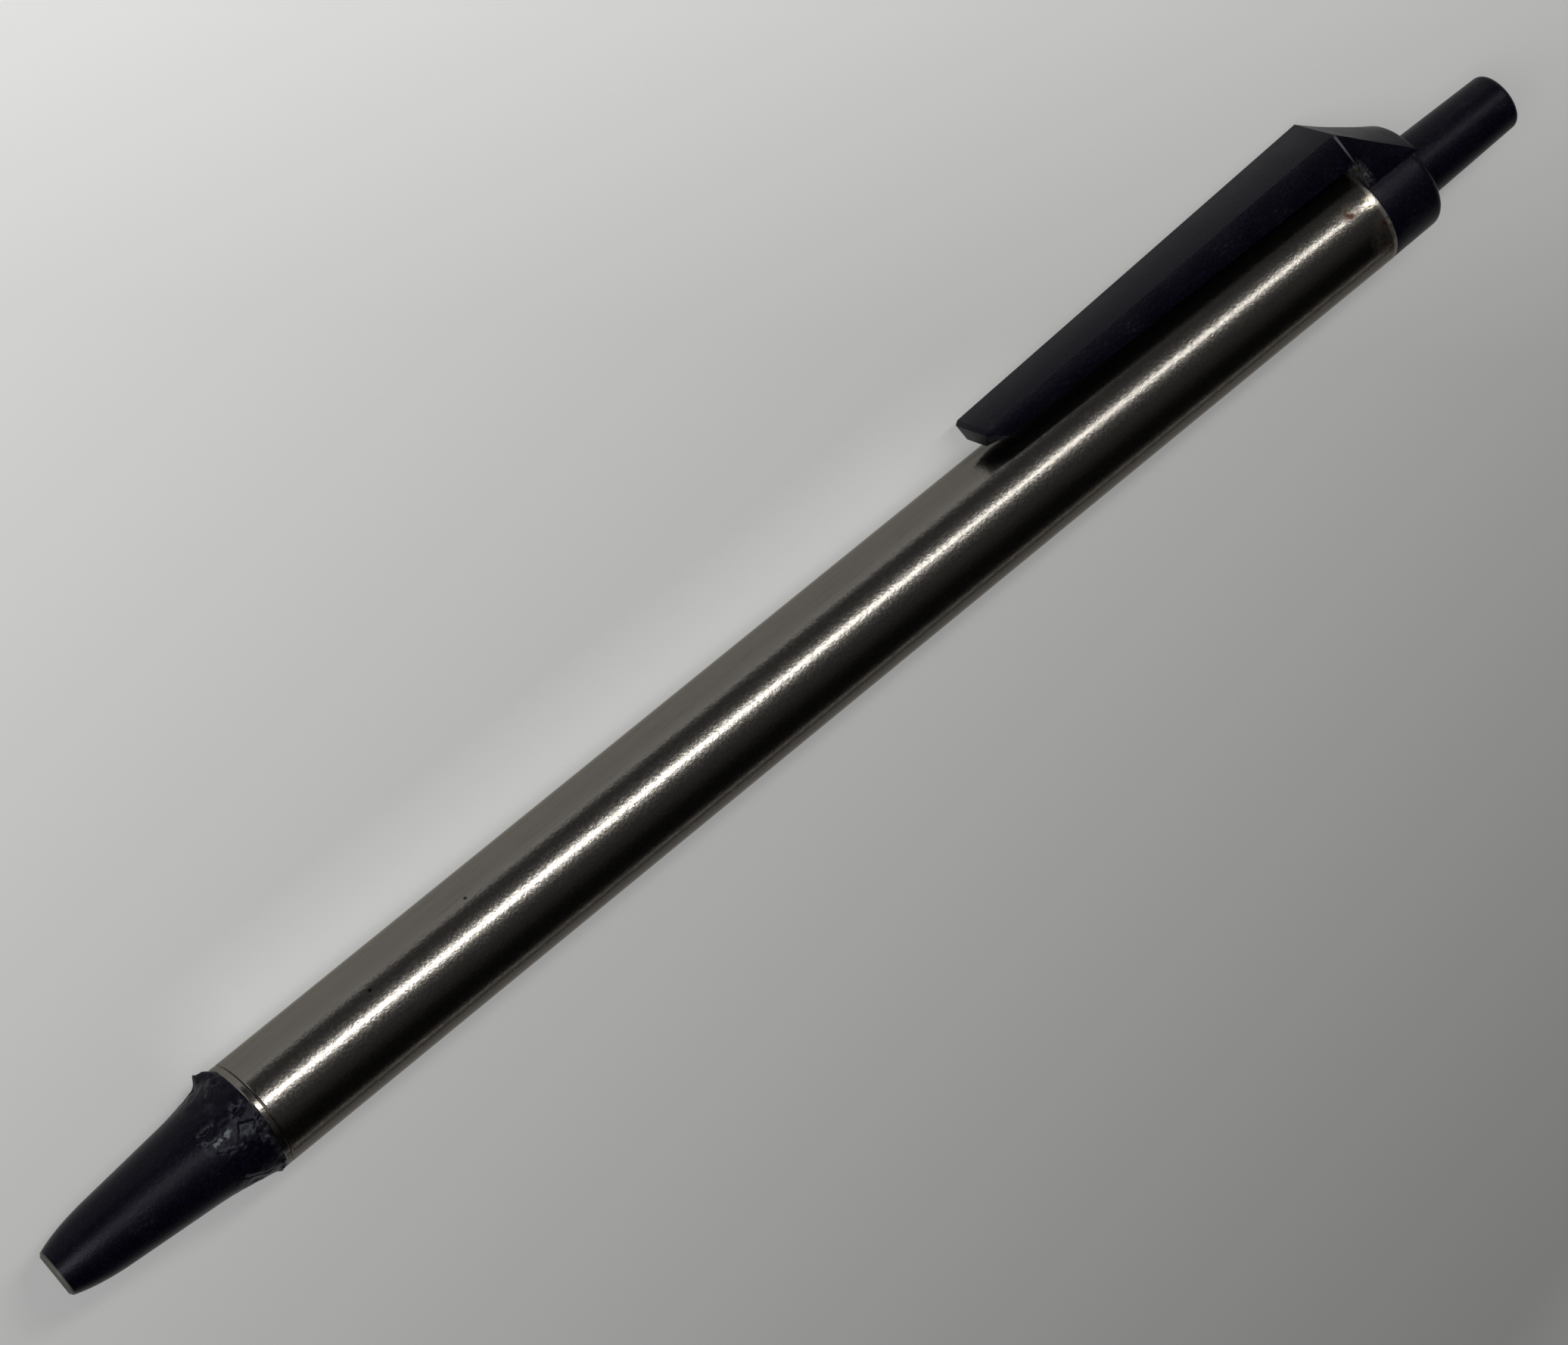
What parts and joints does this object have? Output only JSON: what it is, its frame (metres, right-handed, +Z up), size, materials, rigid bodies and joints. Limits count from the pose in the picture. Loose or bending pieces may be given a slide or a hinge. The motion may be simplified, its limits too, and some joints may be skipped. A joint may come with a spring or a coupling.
{
  "type": "retractable ballpoint pen",
  "caption": "Click ballpoint pen: metal tube barrel, black nose cone, cap with pocket clip, and a button whose turning cam and spring advance the refill's point.",
  "frame": {"origin": "on the barrel's axis, half way along the metal tube", "axes": "+X along the pen from the point to the button, +Z up as the pen lies on a table, the clip rolled 93 degrees from +Z, so that it points sideways to +Y"},
  "size_m": [0.1413, 0.0124, 0.0084],
  "materials": {
    "barrel_metal": "satin, finely brushed",
    "black_plastic": "matte, lightly scuffed",
    "inner_plastic": "plain moulded",
    "spring_wire": "bright wire",
    "clear_tube": "translucent",
    "ink": "paste ink",
    "grease": "clear grease",
    "point_brass": "turned",
    "ball_metal": "polished"
  },
  "bodies": {
    "body": {"barrel_tube": "barrel_metal", "nose_cone": "black_plastic", "clip_cap": "black_plastic", "guide_sleeve": "inner_plastic", "return_spring": "spring_wire"},
    "button": {"push_button": "black_plastic", "plunger": "inner_plastic"},
    "refill": {"ink_tube": "clear_tube", "ink_column": "ink", "grease_follower": "grease", "tip_holder": "inner_plastic", "point_cone": "point_brass"},
    "cam": {"cam_rotor": "inner_plastic"},
    "ball": {"writing_ball": "ball_metal"}
  },
  "joints": [
    {"name": "button_press", "type": "slide", "parent": "body", "child": "button", "axis": [-1, 0, 0], "range_m": [0, 0.007], "stiffness_N_per_m": 250, "springref_m": -0.004},
    {"name": "refill_advance", "type": "slide", "parent": "body", "child": "refill", "axis": [-1, 0, 0], "range_m": [0, 0.0062], "deforming": ["return_spring"]},
    {"name": "cam_turn", "type": "hinge", "parent": "refill", "child": "cam", "pos_m": [0, 0, 0], "axis": [1, 0, 0], "range_deg": [0, 30]},
    {"name": "ball_roll", "type": "hinge", "parent": "refill", "child": "ball", "pos_m": [-0.06832, 0, 0], "axis": [0, 1, 0], "continuous": true}
  ],
  "couplings": [
    {"joint": "refill_advance", "follows": "button_press", "ratio": 0.8857},
    {"joint": "cam_turn", "follows": "button_press", "rad_per_m": 74.79}
  ]
}
